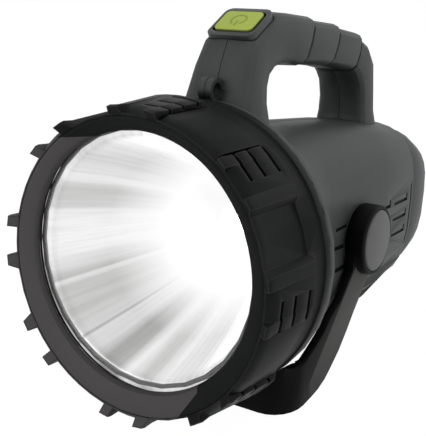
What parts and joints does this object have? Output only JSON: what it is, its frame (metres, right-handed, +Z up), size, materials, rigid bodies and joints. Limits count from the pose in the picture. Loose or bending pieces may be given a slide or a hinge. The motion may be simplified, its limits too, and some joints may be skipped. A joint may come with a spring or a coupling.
{
  "type": "rechargeable flashlight",
  "caption": "Large hand-held searchlight with an armoured round head, a top carrying handle with a push button, and a swinging stand under the barrel.",
  "frame": {"origin": "bottom centre of the bounding box, on the floor that the stand's sole and the barrel's heel rest on", "axes": "+Y runs from the lens to the rear cap along the floor, +X is to the right seen from the front, +Z is up; the lamp is tipped nose-up by about 8.5 degrees"},
  "size_m": [0.1478, 0.2978, 0.1896],
  "materials": {
    "housing": "fine satin grain, dark grey-green",
    "front_bezel": "satin charcoal",
    "bumper_ring": "semi-gloss black",
    "lens": "clear polished",
    "rubber": "matt black",
    "reflector": "bright metallised",
    "led_emitter": "clear dome over yellow phosphor",
    "led_board": "white solder mask",
    "heat_sink": "cast, plain",
    "black_plastic": "matt black",
    "cells": "shrink sleeve, satin",
    "contacts": "nickel plated",
    "circuit_boards": "green solder mask",
    "washers": "natural nylon",
    "pivot_screws": "zinc plated",
    "screws": "zinc plated",
    "stand_bracket": "satin black",
    "pivot_caps": "satin grey",
    "power_button": "satin lime green"
  },
  "bodies": {
    "lamp_body": {"housing_left": "housing", "housing_right": "housing", "rear_cap": "housing", "front_bezel": "front_bezel", "bumper_ring": "bumper_ring", "lens": "lens", "lens_gasket": "rubber", "reflector": "reflector", "led_emitter": "led_emitter", "led_board": "led_board", "heat_sink": "heat_sink", "battery_cradle": "black_plastic", "battery_cell_1": "cells", "battery_cell_2": "cells", "battery_cell_3": "cells", "battery_cell_4": "cells", "contact_strip_front": "contacts", "contact_strip_rear": "contacts", "control_board": "circuit_boards", "charge_socket": "black_plastic", "switch_frame": "housing", "tact_switch": "black_plastic", "switch_board": "circuit_boards", "friction_washer_left": "washers", "friction_washer_right": "washers", "pivot_screw_left": "pivot_screws", "pivot_screw_right": "pivot_screws", "housing_screw_1": "screws", "housing_screw_2": "screws", "housing_screw_3": "screws", "housing_screw_4": "screws", "rear_cap_screw_1": "screws", "rear_cap_screw_2": "screws", "rear_cap_screw_3": "screws", "rear_cap_screw_4": "screws"},
    "stand": {"stand_bracket": "stand_bracket", "pivot_cap_left": "pivot_caps", "pivot_cap_right": "pivot_caps"},
    "button": {"power_button": "power_button"},
    "port_flap": {"charge_port_cover": "rubber"}
  },
  "joints": [
    {"name": "stand_hinge", "type": "hinge", "parent": "lamp_body", "child": "stand", "pos_m": [0, 0.01288, 0.06197], "axis": [1, 0, 0], "range_deg": [0, 95]},
    {"name": "button_press", "type": "slide", "parent": "lamp_body", "child": "button", "axis": [0, 0.3844, -0.9232], "range_m": [0, 0.0012], "stiffness_N_per_m": 600, "springref_m": -0.001},
    {"name": "port_flap_hinge", "type": "hinge", "parent": "lamp_body", "child": "port_flap", "pos_m": [0, 0.14558, 0.05141], "axis": [1, 0, 0], "range_deg": [0, 100]}
  ]
}
